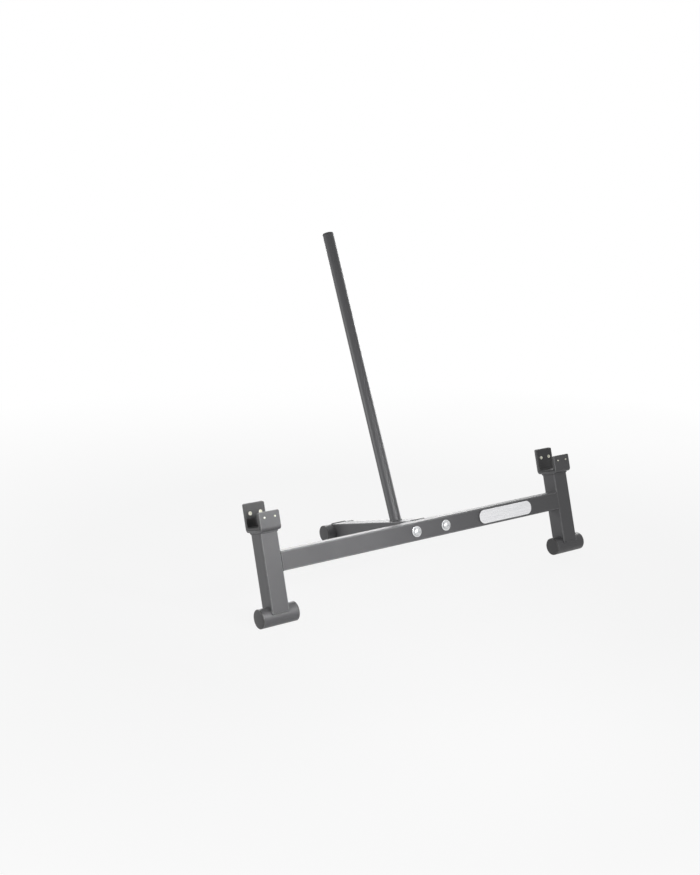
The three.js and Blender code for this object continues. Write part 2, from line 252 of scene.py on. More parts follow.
# Outlines and profiles
def squareOutline(side, radius, inset=0.0, steps=8, support=0.6, leastRadius=0.3):
    # a rounded square brought in by inset: a corner is a quarter circle (r cos a, r sin a) from its centre
    # with a support point on either flat, and quarter turns make the other three
    arcRadius = max(radius - inset, leastRadius)
    centre = side / 2 - inset - arcRadius
    angle = np.linspace(0, math.pi / 2, steps + 1)
    arc = centre + arcRadius * np.column_stack([np.cos(angle), np.sin(angle)])
    edge = centre + arcRadius
    corner = np.vstack([[edge, centre - support], arc, [centre - support, edge]])
    turn = np.array([[0, 1], [-1, 0]])  # a quarter turn to the left
    return np.vstack([corner @ np.linalg.matrix_power(turn, k) for k in range(4)])


def roundOutline(radius, inset=0.0, sides=64):
    # (r cos a, r sin a) for evenly spread angles a, r being the radius less the inset
    angle = np.linspace(0, 2 * math.pi, sides, endpoint=False)
    return (radius - inset) * np.column_stack([np.cos(angle), np.sin(angle)])


def hollowTube(outlineAt, wall, edge, low, high, bevelShare=0.3, supportShare=3):
    # an outline carried over its low rim, up the bore and over its high rim, to be closed down the outside;
    # low and high give the height of an end over each point of the section
    bevel, support = bevelShare * edge, supportShare * edge
    stations = [
        # inset, 1 at the high end, distance back from that end
        (0, 0, support), (0, 0, edge), (bevel, 0, bevel), (edge, 0, 0), (wall, 0, 0),
        (wall, 1, 0), (edge, 1, 0), (bevel, 1, bevel), (0, 1, edge), (0, 1, support),
    ]
    rows = []
    for inset, atHigh, back in stations:
        section = outlineAt(inset)
        height = high(section) - back if atHigh else low(section) + back
        rows.append(np.column_stack([section, height]))
    return np.stack(rows)


def level(height):
    # the same height over every point of a section
    return lambda section: np.full(len(section), float(height))


def saddle(radius):
    # height of a round tube over a section's (a, b): the root of its radius squared less b squared
    return lambda section: np.sqrt(np.maximum(radius ** 2 - section[:, 1] ** 2, 0.0))


def arcPoints(centreRadius, centreHeight, radius, start, end, steps):
    # the circle's (centre + r cos a, centre + r sin a) from start to end
    angle = np.linspace(start, end, steps + 1)
    return np.column_stack([centreRadius + radius * np.cos(angle), centreHeight + radius * np.sin(angle)])


def turned(profile, sides=64):
    # each (radius, height) of the profile goes once round the axis; a radius may be a row of values,
    # one per side
    angle = np.linspace(0, 2 * math.pi, sides, endpoint=False)
    radii = np.stack([np.broadcast_to(radius, angle.shape) for radius, height in profile])
    heights = np.stack([np.broadcast_to(height, angle.shape) for radius, height in profile])
    return np.stack([radii * np.cos(angle), radii * np.sin(angle), heights], axis=-1)


def hexRadius(acrossFlats, sides):
    # distance to a hexagon's edge: half its width over the cosine of the angle from the nearest flat
    angle = np.linspace(0, 2 * math.pi, sides, endpoint=False)
    fromFlat = (angle + math.pi / 6) % (math.pi / 3) - math.pi / 6
    return acrossFlats / 2 / np.cos(fromFlat)


# Node groups for effects that several finishes share
def addNode(tree, kind, inputs=None, **settings):
    node = tree.nodes.new(kind)
    for key, value in settings.items():
        setattr(node, key, value)
    for key, value in (inputs or {}).items():
        socket = node.inputs[key]
        if isinstance(value, bpy.types.NodeSocket):
            tree.links.new(value, socket)
        else:
            socket.default_value = value
    return node


def mathOf(tree, operation, *values):
    return addNode(tree, "ShaderNodeMath", dict(enumerate(values)), operation=operation).outputs["Value"]


def mapped(tree, value, low, high, fromLow=0.0, fromHigh=1.0):
    inputs = {"Value": value, "From Min": fromLow, "From Max": fromHigh, "To Min": low, "To Max": high}
    return addNode(tree, "ShaderNodeMapRange", inputs).outputs["Result"]


def noiseOf(tree, place, scale, detail=2.0, roughness=0.5):
    inputs = {"Vector": place, "Scale": scale, "Detail": detail, "Roughness": roughness}
    return addNode(tree, "ShaderNodeTexNoise", inputs).outputs["Fac"]


def newGroup(name, inputs, outputs):
    # inputs and outputs map a socket's name to its kind, and an input may carry a value
    group = bpy.data.node_groups.new(name, "ShaderNodeTree")
    for label, (kind, value) in inputs.items():
        socket = group.interface.new_socket(label, in_out="INPUT", socket_type=kind)
        if value is not None:
            socket.default_value = value
    for label in outputs:
        group.interface.new_socket(label, in_out="OUTPUT", socket_type="NodeSocketFloat")
    return group, group.nodes.new("NodeGroupInput").outputs, group.nodes.new("NodeGroupOutput").inputs


vectorInput = ("NodeSocketVector", None)
# A range gives the two values that become 0 and 1
grainPattern = {
    "waveScaleShare": 0.22,  # the waviness to the grain, in scale and in height
    "waveHeightShare": 1.5,
    "toneNoise": (4.0, 0.6),  # detail and roughness
    "toneRange": (0.3, 0.7),
}
streakPattern = {
    "noise": (1.0, 3.0),  # scale and detail
}
dustPattern = {
    "facingRange": (0.4, 1.0),
    "noise": (60.0, 6.0, 0.7),  # scale, detail and roughness
}
wearPattern = {
    "noise": (5.0, 0.65),  # detail and roughness
    "edgeRange": (0.2, 0.75),
    # polish is a painted highlight on the coat's corners and rims, and rubbed wear on plastic
    "leastPolishAndHighlight": 0.6,
    "polishAndHighlightRange": (0.35, 0.6),
    "chipRange": (0.63, 0.67),
    "scuffRange": (0.42, 0.6),
}


def buildGrain(v):
    # height is fine noise plus a taller and coarser waviness; tone is slow noise, stretched over its range
    group, given, made = newGroup(
        "surfaceGrain",
        {"Vector": vectorInput, "Grain": ("NodeSocketFloat", 900.0), "Patch": ("NodeSocketFloat", 7.0)},
        ("Height", "Tone"),
    )
    fine = noiseOf(group, given["Vector"], given["Grain"])
    wave = noiseOf(group, given["Vector"], mathOf(group, "MULTIPLY", given["Grain"], v["waveScaleShare"]))
    height = mathOf(group, "MULTIPLY_ADD", wave, v["waveHeightShare"], fine)
    patches = noiseOf(group, given["Vector"], given["Patch"], *v["toneNoise"])
    tone = mapped(group, patches, 0.0, 1.0, *v["toneRange"])
    group.links.new(height, made["Height"])
    group.links.new(tone, made["Tone"])
    return group


def buildDust(v):
    # dust is how far a face looks up, times noise, times its amount
    group, given, made = newGroup(
        "settledDust",
        {"Vector": vectorInput, "Amount": ("NodeSocketFloat", 0.2)},
        ("Mask",),
    )
    geometry = addNode(group, "ShaderNodeNewGeometry")
    normal = addNode(group, "ShaderNodeSeparateXYZ", {"Vector": geometry.outputs["Normal"]})
    facing = mapped(group, normal.outputs["Z"], 0.0, 1.0, *v["facingRange"])
    broken = mathOf(group, "MULTIPLY", facing, noiseOf(group, given["Vector"], *v["noise"]))
    group.links.new(mathOf(group, "MULTIPLY", broken, given["Amount"]), made["Mask"])
    return group


def buildStreaks(v):
    # brushed or rubbed lines: noise squeezed across x, so that its lines run long along it
    group, given, made = newGroup(
        "drawnStreaks",
        {"Vector": vectorInput, "Across": ("NodeSocketFloat", 1500.0), "Along": ("NodeSocketFloat", 12.0)},
        ("Height",),
    )
    split = addNode(group, "ShaderNodeSeparateXYZ", {"Vector": given["Vector"]})
    stretched = {
        "X": mathOf(group, "MULTIPLY", split.outputs["X"], given["Along"]),
        "Y": mathOf(group, "MULTIPLY", split.outputs["Y"], given["Across"]),
        "Z": mathOf(group, "MULTIPLY", split.outputs["Z"], given["Across"]),
    }
    joined = addNode(group, "ShaderNodeCombineXYZ", stretched)
    group.links.new(noiseOf(group, joined.outputs["Vector"], *v["noise"]), made["Height"])
    return group


def buildWear(v):
    # polish and highlight is the edge's bend times soft noise, a painted highlight on the coat's corners and
    # rims and rubbed wear on plastic; chips are the bend where the same noise passes a higher threshold;
    # scuffs fade from the floor to a small height above it and are broken by that noise too
    group, given, made = newGroup(
        "edgeWearAndHighlight",
        {
            "Vector": vectorInput,
            "Edge": ("NodeSocketFloat", 0.0),
            "Scale": ("NodeSocketFloat", 90.0),
            "ScuffHeight": ("NodeSocketFloat", 0.004),
        },
        ("PolishAndHighlight", "Chips", "Scuffs"),
    )
    coarse = noiseOf(group, given["Vector"], given["Scale"], *v["noise"])
    edge = mapped(group, given["Edge"], 0.0, 1.0, *v["edgeRange"])
    soft = mapped(group, coarse, v["leastPolishAndHighlight"], 1.0, *v["polishAndHighlightRange"])
    polishAndHighlight = mathOf(group, "MULTIPLY", edge, soft)
    chips = mathOf(group, "MULTIPLY", edge, mapped(group, coarse, 0.0, 1.0, *v["chipRange"]))
    height = addNode(group, "ShaderNodeSeparateXYZ", {"Vector": given["Vector"]}).outputs["Z"]
    low = mapped(group, height, 1.0, 0.0, 0.0, given["ScuffHeight"])
    scuffs = mathOf(group, "MULTIPLY", low, mapped(group, coarse, 0.0, 1.0, *v["scuffRange"]))
    group.links.new(polishAndHighlight, made["PolishAndHighlight"])
    group.links.new(chips, made["Chips"])
    group.links.new(scuffs, made["Scuffs"])
    return group


grainGroup = buildGrain(grainPattern)
dustGroup = buildDust(dustPattern)
streakGroup = buildStreaks(streakPattern)
wearGroup = buildWear(wearPattern)


# Finishes
def startMaterial(name, values):
    material = bpy.data.materials.new(name)
    material.use_nodes = True
    tree = material.node_tree
    shader = tree.nodes["Principled BSDF"]
    for key, value in values.items():
        shader.inputs[key].default_value = value
    coordinates = addNode(tree, "ShaderNodeTexCoord")
    return material, tree, shader, coordinates.outputs["Object"]


def mixColour(tree, factor, first, second):
    # this node repeats its sockets' names for every type of value, so the colour's go by number
    return addNode(tree, "ShaderNodeMix", {0: factor, 6: first, 7: second}, data_type="RGBA").outputs[2]


def placeGroup(tree, group, place, **values):
    return addNode(tree, "ShaderNodeGroup", {"Vector": place, **values}, node_tree=group).outputs


def placeGrain(tree, place, v):
    return placeGroup(tree, grainGroup, place, Grain=v["grainPerMetre"], Patch=v["patchPerMetre"])


def placeStreaks(tree, place, v):
    return placeGroup(tree, streakGroup, place, Across=v["streaksAcross"], Along=v["streaksAlong"])


def edgeBendOf(tree):
    return addNode(tree, "ShaderNodeAttribute", attribute_name="edgeBend").outputs["Fac"]


def placeWear(tree, place, v):
    values = {"Edge": edgeBendOf(tree), "Scale": v["wearPerMetre"], "ScuffHeight": v["scuffHeight"]}
    return placeGroup(tree, wearGroup, place, **values)


def joinFinish(tree, shader, colour, tone, height, v):
    # the colour, a roughness that follows the tone, and a bump that follows the height
    tree.links.new(colour, shader.inputs["Base Color"])
    tree.links.new(mapped(tree, tone, *v["roughness"]), shader.inputs["Roughness"])
    bump = addNode(tree, "ShaderNodeBump", {"Height": height, "Distance": v["bumpHeight"], "Strength": 1.0})
    tree.links.new(bump.outputs["Normal"], shader.inputs["Normal"])


def linear(red, green, blue):
    # a screen colour of 0 to 255 as the shader needs it: a share s of 255 becomes ((s + 0.055) / 1.055) to
    # the power 2.4, or s / 12.92 where it is very dark
    shares = np.array([red, green, blue]) / 255
    return (*np.where(shares <= 0.04045, shares / 12.92, ((shares + 0.055) / 1.055) ** 2.4).tolist(), 1.0)


coatLook = {
    "dark": linear(86, 86, 88),
    "light": linear(93, 93, 95),
    "dust": linear(150, 150, 148),
    "dustAmount": 0.12,
    # painted highlight: the coat's tightly rounded corners and rims lighten to this, standing in for the
    # lines of light on them
    "paintedHighlight": linear(148, 148, 150),
    "chipped": linear(166, 164, 160),
    "chippedShare": 0.6,
    "specularLevel": 0.6,
    "roughness": (0.4, 0.48),
    "grainPerMetre": 1100.0,
    "patchPerMetre": 7.0,
    "wearPerMetre": 90.0,
    "scuffHeight": 4 * mm,  # from the floor up
    "bumpHeight": 0.02 * mm,
}


def powderCoatMaterial(v):
    values = {"Metallic": 0.0, "Specular IOR Level": v["specularLevel"]}
    material, tree, shader, place = startMaterial("powderCoat", values)
    grain = placeGrain(tree, place, v)
    dust = placeGroup(tree, dustGroup, place, Amount=v["dustAmount"])
    wear = placeWear(tree, place, v)
    colour = mixColour(tree, grain["Tone"], v["dark"], v["light"])
    # painted highlight on the tightly rounded corners and rims
    colour = mixColour(tree, wear["PolishAndHighlight"], colour, v["paintedHighlight"])
    colour = mixColour(tree, dust["Mask"], colour, v["dust"])
    bare = mathOf(tree, "MAXIMUM", wear["Chips"], wear["Scuffs"])
    colour = mixColour(tree, mathOf(tree, "MULTIPLY", bare, v["chippedShare"]), colour, v["chipped"])
    joinFinish(tree, shader, colour, grain["Tone"], grain["Height"], v)
    return material


capLook = {
    "dark": linear(70, 70, 71),
    "light": linear(80, 80, 81),
    "scuffed": linear(118, 117, 115),
    "scuffedShare": 0.45,
    "specularLevel": 0.45,
    "roughness": (0.38, 0.5),
    "grainPerMetre": 2200.0,
    "patchPerMetre": 18.0,
    "wearPerMetre": 140.0,
    "scuffHeight": 4 * mm,
    "bumpHeight": 0.015 * mm,
}
linerLook = {
    "dark": linear(66, 66, 67),
    "light": linear(78, 78, 79),
    "scuffed": linear(112, 112, 111),
    "scuffedShare": 0.45,
    "rubbed": linear(104, 104, 104),
    "rubbedShare": 0.4,
    "rubbedRange": (0.55, 0.75),
    "streaksAcross": 500.0,  # streaks per metre
    "streaksAlong": 25.0,
    "specularLevel": 0.45,
    "roughness": (0.42, 0.58),
    "grainPerMetre": 1600.0,
    "patchPerMetre": 18.0,
    "wearPerMetre": 140.0,
    "scuffHeight": 4 * mm,
    "bumpHeight": 0.02 * mm,
}


def mouldedPlasticMaterial(name, v):
    values = {"Metallic": 0.0, "Specular IOR Level": v["specularLevel"]}
    material, tree, shader, place = startMaterial(name, values)
    grain = placeGrain(tree, place, v)
    wear = placeWear(tree, place, v)
    colour = mixColour(tree, grain["Tone"], v["dark"], v["light"])
    worn = mathOf(tree, "MAXIMUM", wear["PolishAndHighlight"], wear["Scuffs"])
    colour = mixColour(tree, mathOf(tree, "MULTIPLY", worn, v["scuffedShare"]), colour, v["scuffed"])
    if "rubbed" in v:
        streaks = placeStreaks(tree, place, v)
        rubbed = mapped(tree, streaks["Height"], 0.0, v["rubbedShare"], *v["rubbedRange"])
        colour = mixColour(tree, rubbed, colour, v["rubbed"])
    joinFinish(tree, shader, colour, grain["Tone"], grain["Height"], v)
    return material


brightSteelLook = {
    "first": linear(200, 202, 204),
    "second": linear(228, 229, 230),
    "metallic": 0.9,
    "roughness": (0.16, 0.3),
    "grainPerMetre": 1500.0,
    "patchPerMetre": 140.0,
    "bumpHeight": 0.012 * mm,
}
yellowZincLook = {
    "first": linear(206, 205, 190),
    "second": linear(234, 233, 220),
    "metallic": 0.6,
    "roughness": (0.34, 0.5),
    "grainPerMetre": 2500.0,
    "patchPerMetre": 250.0,
    "bumpHeight": 0.01 * mm,
}


def platedSteelMaterial(name, v):
    material, tree, shader, place = startMaterial(name, {"Metallic": v["metallic"]})
    grain = placeGrain(tree, place, v)
    colour = mixColour(tree, grain["Tone"], v["first"], v["second"])
    joinFinish(tree, shader, colour, grain["Tone"], grain["Height"], v)
    return material


plateLook = {
    "first": linear(230, 230, 232),
    "second": linear(244, 244, 246),
    # painted shadow: the plate's rounded rim darkens to this, standing in for the thin shadow the plate casts
    # below its edge
    "edge": linear(64, 64, 66),
    "metallic": 0.75,
    "roughness": (0.22, 0.36),
    "streaksAcross": 900.0,  # streaks per metre
    "streaksAlong": 14.0,
    "streakRange": (0.35, 0.65),
    "edgeRange": (0.1, 0.6),
    "bumpHeight": 0.02 * mm,
}


def brushedPlateMaterial(v):
    material, tree, shader, place = startMaterial("brushedPlate", {"Metallic": v["metallic"]})
    streaks = placeStreaks(tree, place, v)
    streakTone = mapped(tree, streaks["Height"], 0.0, 1.0, *v["streakRange"])
    colour = mixColour(tree, streakTone, v["first"], v["second"])
    # painted shadow along the plate's rounded rim
    rim = mapped(tree, edgeBendOf(tree), 0.0, 1.0, *v["edgeRange"])
    colour = mixColour(tree, rim, colour, v["edge"])
    joinFinish(tree, shader, colour, streaks["Height"], streaks["Height"], v)
    return material


powderCoat = powderCoatMaterial(coatLook)
capPlastic = mouldedPlasticMaterial("capPlastic", capLook)
linerPlastic = mouldedPlasticMaterial("linerPlastic", linerLook)
brightSteel = platedSteelMaterial("brightSteel", brightSteelLook)
yellowZinc = platedSteelMaterial("yellowZinc", yellowZincLook)
brushedPlate = brushedPlateMaterial(plateLook)
print("jack: materials built")


# Feet: a round tube with a domed plastic cap in each end
foot = {
    "radius": 25,
    "wall": 3,
    "length": 108,  # over the caps
    "capHead": 3.5,
    "capDome": 0.8,
    "capEdge": 2,
    "capRim": 0.3,  # bevel beside the tube's end
    "plugLength": 16,
    "plugWall": 2.5,
}
leftAndRight = (("left", -1), ("right", 1))


def roundTube(v, cutEdge, low, high):
    return hollowTube(lambda inset: roundOutline(v["radius"], inset), v["wall"], cutEdge, low, high)


def capGrid(v, steps=6):
    # a hollow plug below the rim, a rounded edge, then a dome that falls off with the radius squared
    radius, head, edge, rim = v["radius"], v["capHead"], v["capEdge"], v["capRim"]
    plug = radius - v["wall"] - gap
    hollow = plug - v["plugWall"]
    flat = radius - edge
    under = [[0, 0], [hollow, 0], [hollow, -v["plugLength"]], [plug, -v["plugLength"]], [plug, 0]]
    edgeArc = arcPoints(flat, head - edge, edge, 0, math.pi / 2, steps)
    shares = np.linspace(1, 0, steps + 1)[1:]
    crown = np.column_stack([flat * shares, head + v["capDome"] * (1 - shares ** 2)])
    return turned(np.vstack([under, [[radius - rim, 0], [radius, rim]], edgeArc, crown]))


def makeTube(name, grid, node):
    makePiece(name, grid, powderCoat, [node], closeRows=True)


def addFoot(name, x, t, s, v):
    seat = v["length"] / 2 - v["capHead"] - v["capDome"]
    tube = roundTube(v, jackFrame["cutEdge"], level(gap - seat), level(seat - gap))
    makeTube(f"{name}FootTube", alongCrossbar(tube, x, t, s), f"{name}_foot_tube")
    cap = capGrid(v)
    for side, sign in leftAndRight:
        grid = alongCrossbar(cap, x + sign * seat, t, s, sign)
        node = f"{name}_foot_{side}_cap"
        makePiece(f"{name}Foot{side.title()}Cap", grid, capPlastic, [node])


addFoot("left", -uprightPlace, 0, 0, foot)
addFoot("right", uprightPlace, 0, 0, foot)
addFoot("rear", 0, armReach, crossbarHeight, foot)
print("jack: feet made")


# Square tubes, and the bolting plate that the arm starts from
def tubeOutline(inset=0.0):
    return squareOutline(jackFrame["tubeSide"], jackFrame["cornerRadius"], inset)


def squareTube(low, high):
    return hollowTube(tubeOutline, jackFrame["tubeWall"], jackFrame["cutEdge"], low, high)


boltingPlate = {
    "length": 140,
    "thickness": 6,
    "cornerRadius": 5,
    "cornerSteps": 8,
    "edge": 0.6,
}
plateBack = tubeHalf + gap + boltingPlate["thickness"]
armStart = plateBack + gap
footCope = saddle(foot["radius"] + gap)


def addUprights():
    grid = squareTube(footCope, level(jackFrame["uprightHeight"] - gap))
    for side, sign in leftAndRight:
        makeTube(f"{side}Upright", upwards(grid, sign * uprightPlace), f"{side}_upright")


def addCrossbar():
    half = uprightPlace - tubeHalf - gap
    grid = squareTube(level(-half), level(half))
    makeTube("crossbar", alongCrossbar(grid, 0, 0, crossbarHeight), "crossbar")


def addArm():
    # from the bolting plate's back to the arm's reach less the rear foot's height over the section
    grid = squareTube(level(armStart), lambda section: armReach - footCope(section))
    makeTube("armTube", rearwards(grid, 0, 0, crossbarHeight), "arm_tube")


addUprights()
addCrossbar()
addArm()
print("jack: square tubes made")


def flatPlate(v, height, leastRadius=0.2):
    # a rounded rectangle carried through its thickness, its two edges rounded and its faces closed to a
    # middle line
    width, thickness, edge, steps = v["length"], v["thickness"], v["edge"], v["cornerSteps"]
    signs = np.repeat([[1, 1], [-1, 1], [-1, -1], [1, -1]], steps + 1, axis=0)
    angle = (np.linspace(0, math.pi / 2, steps + 1)[None, :] + np.arange(4)[:, None] * math.pi / 2).ravel()

    def outline(inset, depth):
        arcRadius = max(v["cornerRadius"] - inset, leastRadius)
        centres = signs * (np.array([width, height]) / 2 - inset - arcRadius)
        spots = centres + arcRadius * np.column_stack([np.cos(angle), np.sin(angle)])
        return np.column_stack([spots, np.full(len(angle), depth)])

    bend = edge * (1 - math.cos(math.pi / 4))
    stations = [
        (2 * edge, 0), (edge, 0), (bend, bend), (0, edge),
        (0, thickness - edge), (bend, thickness - bend), (edge, thickness), (2 * edge, thickness),
    ]
    rows = [outline(inset, depth) for inset, depth in stations]
    half = (width - height) / 2
    spine = np.column_stack([np.clip(rows[0][:, 0], -half, half), np.zeros((len(angle), 2))])
    return np.stack([spine, *rows, spine + np.array([0, 0, thickness])])


def addBoltingPlate(v):
    grid = rearwards(flatPlate(v, jackFrame["tubeSide"]), 0, tubeHalf + gap, crossbarHeight)
    makePiece("armFlange", grid, powderCoat, ["arm_flange"])


addBoltingPlate(boltingPlate)

namePlate = {
    "endDistance": 107.5,  # its right end to the upright
    "length": 194,
    "height": 40,
    "thickness": 2.5,
    "cornerRadius": 18.5,
    "cornerSteps": 12,
    "edge": 0.5,
}


def addNamePlate(v):
    x = uprightPlace - tubeHalf - v["endDistance"] - v["length"] / 2
    grid = rearwards(flatPlate(v, v["height"]), x, -tubeHalf - gap, crossbarHeight, -1)
    makePiece("barePlate", grid, brushedPlate, ["name_plate"])


addNamePlate(namePlate)
print("jack: plates made")


# Cradles: a bent steel bracket, its plastic liner and four countersunk screws
cradle = {
    "width": 58,
    "depth": 81,
    "frontHeight": 50,
    "backHeight": 74,
    "steel": 5,
    "steelBend": 5,  # inside the bend
    "steelEdge": 1.1,
    "liner": 6,
    "linerBend": 4,
    "linerEdge": 1.0,
    "stepDown": 1,  # of the liner's walls below the steel's
    "cornerRadius": 4,
    "cornerSteps": 7,
    "screwPitch": 30,
    "frontScrews": 35,
    "backScrews": 48,
}
screw = {
    "radius": 2.5,
    "headRadius": 5,
    "headDepth": 2.9,
    "rim": 0.4,
    "end": 1.5,  # how far it stands out of the steel
    "clearance": 0.4,
    "headEdge": 0.5,
    "headEdgeShares": ((1, 0), (0.24, 0.1), (0, 0.4)),  # in from the side, back from the face
    "endEdge": 0.6,
    "endEdgeShares": ((0, 1), (0.3, 0.3), (1, 0)),  # in from the side, back from the end
    "crossSpan": 6.0,
    "crossWidth": 1.5,
    "crossDepth": 2.2,
    "crossLip": 0.1,
    "crossFloorShare": 0.45,  # the cross at its floor and at its mouth, to its named size
    "crossMouthShare": 1.06,
}
fastenerSharp = 30  # degrees past which an edge of a screw, bolt, washer or nut shows as sharp
# how far below a wall's top the points of its rounded corner lie
topDrops = cradle["cornerRadius"] * (1 - np.cos(np.linspace(0, math.pi / 2, cradle["cornerSteps"] + 1)))


def channelCurve(depth, radius, base, front, back, steps=10, support=0.6):
    # (t, s) from the front wall's top down to a quarter bend, along the base and up a second bend to the
    # back wall's top
    half = depth / 2
    wallEnd = base + radius + support
    first = arcPoints(radius - half, base + radius, radius, math.pi, 1.5 * math.pi, steps)
    second = arcPoints(half - radius, base + radius, radius, -math.pi / 2, 0, steps)
    count = len(topDrops) + 1
    frontWall = np.column_stack([np.full(count, -half), np.append(front - topDrops, wallEnd)])
    backWall = np.column_stack([np.full(count, half), np.append(back - topDrops, wallEnd)])[::-1]
    middle = np.array([[radius - half + support, base], [half - radius - support, base]])
    return np.vstack([frontWall, first, middle, second, backWall])


def channelGrid(outer, inner, edge, v, steps=4, support=0.6, leastArc=0.05):
    # at each station a rounded rectangle spans the width and the wall, from the outer curve to the inner one;
    # near a wall's top it narrows by r less the root of r squared less (r - drop) squared, for the corner,
    # and thins by the same rule with the edge's radius, for the rounded rim
    radius = v["cornerRadius"]
    drop = np.full(len(outer), 2.0 * radius)
    drop[:len(topDrops)] = topDrops
    drop[-len(topDrops):] = topDrops[::-1]

    def shortfall(r):
        return r - np.sqrt(r ** 2 - np.clip(r - drop, 0, r) ** 2)

    half = (v["width"] / 2 - shortfall(radius))[:, None]
    thin = shortfall(edge)[:, None]
    arc = np.maximum(edge - thin, leastArc)
    across = inner - outer
    wall = np.linalg.norm(across, axis=1)[:, None]
    angle = np.linspace(0, math.pi / 2, steps + 1)[None, :]
    farCorner = (half - arc + arc * np.sin(angle), thin + arc * (1 - np.cos(angle)))
    nearCorner = (half - arc + arc * np.cos(angle), wall - thin - arc * (1 - np.sin(angle)))
    flat = half - edge - support
    width = np.hstack([flat, farCorner[0], nearCorner[0], flat])
    depth = np.hstack([thin, farCorner[1], nearCorner[1], wall - thin])
    width = np.hstack([width, -width[:, ::-1]])
    depth = np.hstack([depth, depth[:, ::-1]])
    spots = outer[:, None, :] + (depth / wall)[..., None] * across[:, None, :]
    loops = np.concatenate([width[..., None], spots], axis=2)
    ends = []
    for k in (0, -1):  # the flat top of each wall closes on the middle of its thickness
        end = loops[k].copy()
        end[:, 1:] = (outer[k] + inner[k]) / 2
        ends.append(end)
    return np.concatenate([ends[0][None], loops, ends[1][None]])


def screwHole(length, v, past=3, sides=48):
    # the screw's own profile, wider by the clearance and longer at both ends
    head, shank = v["headRadius"] + v["clearance"] / 2, v["radius"] + v["clearance"] / 2
    return turned([
        (0, -past), (head, -past), (head, v["rim"]),
        (shank, v["headDepth"]), (shank, length + past), (0, length + past),
    ], sides)


def screwGrid(length, v, sides=96):
    # a cross recess opens into a flat head, whose cone runs into a shank; the cross is the nearer of the
    # arms' end and the arms' side, so its radius is the lesser of half its span over the cosine and half its
    # width over the sine of the angle from the nearest arm
    angle = np.linspace(0, 2 * math.pi, sides, endpoint=False)
    folded = np.abs((angle + math.pi / 4) % (math.pi / 2) - math.pi / 4)
    halfSpan, halfWidth = v["crossSpan"] / 2, v["crossWidth"] / 2
    cross = np.minimum(halfSpan / np.cos(folded), halfWidth / np.maximum(np.sin(folded), tiny))
    head, shank = v["headRadius"], v["radius"]
    profile = [(0, v["crossDepth"]), (v["crossFloorShare"] * cross, v["crossDepth"])]
    profile += [(cross, v["crossLip"]), (v["crossMouthShare"] * cross, 0)]
    profile += [(head - a * v["headEdge"], b * v["headEdge"]) for a, b in v["headEdgeShares"]]
    profile += [(head, v["rim"]), (shank, v["headDepth"])]
    profile += [(shank - a * v["endEdge"], length - b * v["endEdge"]) for a, b in v["endEdgeShares"]]
    return turned([*profile, (0, length)], sides)


def addCradle(side, x, v):
    # the same four cutters drill the steel and the liner, each with its screw's place and profile
    rise = v["steel"] + gap
    front, back = v["frontHeight"], v["backHeight"]
    linerFront, linerBack = front - v["stepDown"], back - v["stepDown"]
    linerDepth = v["depth"] - 2 * rise - 2 * v["liner"]
    outer = channelCurve(v["depth"], v["steelBend"] + v["steel"], 0, front, back)
    inner = channelCurve(v["depth"] - 2 * v["steel"], v["steelBend"], v["steel"], front, back)
    linerOuter = channelCurve(v["depth"] - 2 * rise, v["steelBend"] - gap, rise, linerFront, linerBack)
    linerInner = channelCurve(linerDepth, v["linerBend"], rise + v["liner"], linerFront, linerBack)
    base = jackFrame["uprightHeight"]
    length = v["liner"] + rise + screw["end"]
    cutters = []
    for place, across, height, wall in (
        ("front_left", -1, v["frontScrews"], -1), ("front_right", 1, v["frontScrews"], -1),
        ("back_left", -1, v["backScrews"], 1), ("back_right", 1, v["backScrews"], 1),
    ):
        spot = (x + across * v["screwPitch"] / 2, wall * linerDepth / 2, base + height)
        cutters.append(rearwards(screwHole(length, screw), *spot, wall))
        name = f"{side}Screw" + place.title().replace("_", "")
        grid = rearwards(screwGrid(length, screw), *spot, wall)
        node = f"{side}_liner_screw_{place}"
        makePiece(name, grid, yellowZinc, [node], sharpDegrees=fastenerSharp)
    steel = upwards(channelGrid(outer, inner, v["steelEdge"], v), x, 0, base)
    plastic = upwards(channelGrid(linerOuter, linerInner, v["linerEdge"], v), x, 0, base)
    for name, grid, material, slot, node in (
        ("CradleBracket", steel, powderCoat, "powder_coat", "cradle_bracket"),
        ("CradleLiner", plastic, linerPlastic, "liner_plastic", "cradle_liner"),
    ):
        makePiece(side + name, grid, material, [f"{side}_{node}"], cutters=cutters)


addCradle("left", -uprightPlace, cradle)
addCradle("right", uprightPlace, cradle)
print("jack: cradles made")


# The bolts that join the rear frame to the crossbar, with their washers and locking nuts
bolt = {
    "spacing": 100,
    "radius": 6,
    "headRadius": 11,
    "headHeight": 7,
    "headRim": 1.2,
    "domeStartShare": 0.55,  # of the head's radius, where the dome meets the land round the socket
    "socketFlats": 8,
    "socketDepth": 4,
    "socketLip": 0.35,
    "socketFloorShare": 0.96,  # the socket at its floor and at its mouth, to its named size
    "socketMouthShare": 1.06,
    "end": 5,  # how far it stands out of the nut
    "threadPitch": 1.75,
    "threadDepth": 0.9,
    "threadHidden": 2,  # how far inside the nut the thread begins
    "threadShort": 0.8,  # how far before the bolt's end it stops
    "threadStep": 0.2,
    "threadFade": 1.0,  # over which it reaches its depth
    "edge": 0.3,
    "endEdge": 0.5,
    "frontWasher": (15, 2.5),  # outer radius, thickness
    "rearWasher": (12, 2.5),
    "nutFlats": 19,
    "nutHeight": 10,
    "collarHeight": 3,
    "collarWall": 2.2,
    "nutEdge": 0.4,
    "collarEdge": 0.8,
    "collarBend": 0.25,
    "clearance": 0.4,
}


